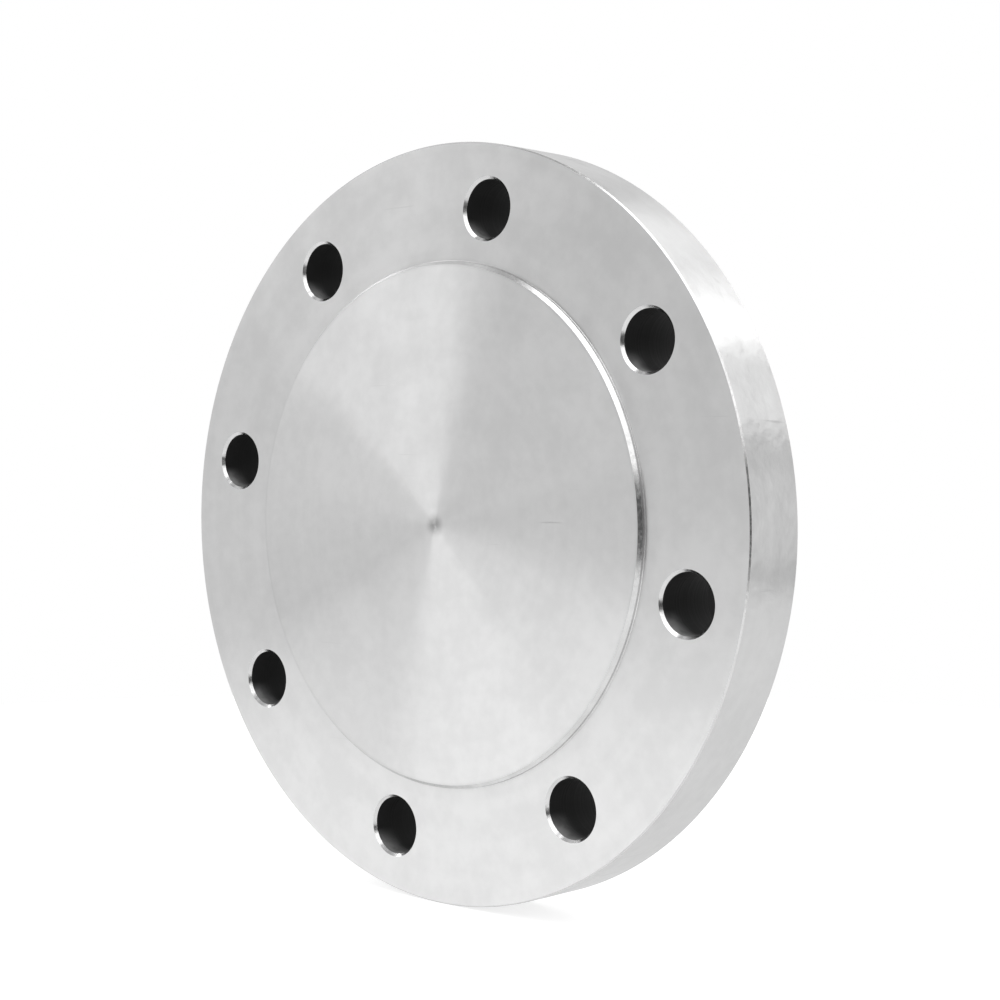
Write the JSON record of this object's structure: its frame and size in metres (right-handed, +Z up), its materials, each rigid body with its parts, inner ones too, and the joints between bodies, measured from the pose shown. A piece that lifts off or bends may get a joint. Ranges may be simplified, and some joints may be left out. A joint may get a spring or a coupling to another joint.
{
  "type": "blind flange",
  "caption": "Solid round flange that closes the end of a pipe line, with a low raised sealing face and a circle of bolt holes near the rim.",
  "frame": {"origin": "centre of the raised face, on the flange's axis", "axes": "-Y is the raised face's outward normal, along the flange's axis; +Z is up, with the disc standing on its rim as pictured"},
  "size_m": [0.2286, 0.0239, 0.2286],
  "materials": {
    "machined_steel": "fine turned faces and rim, bare"
  },
  "bodies": {
    "root": {"flange_disc": "machined_steel"}
  },
  "joints": []
}
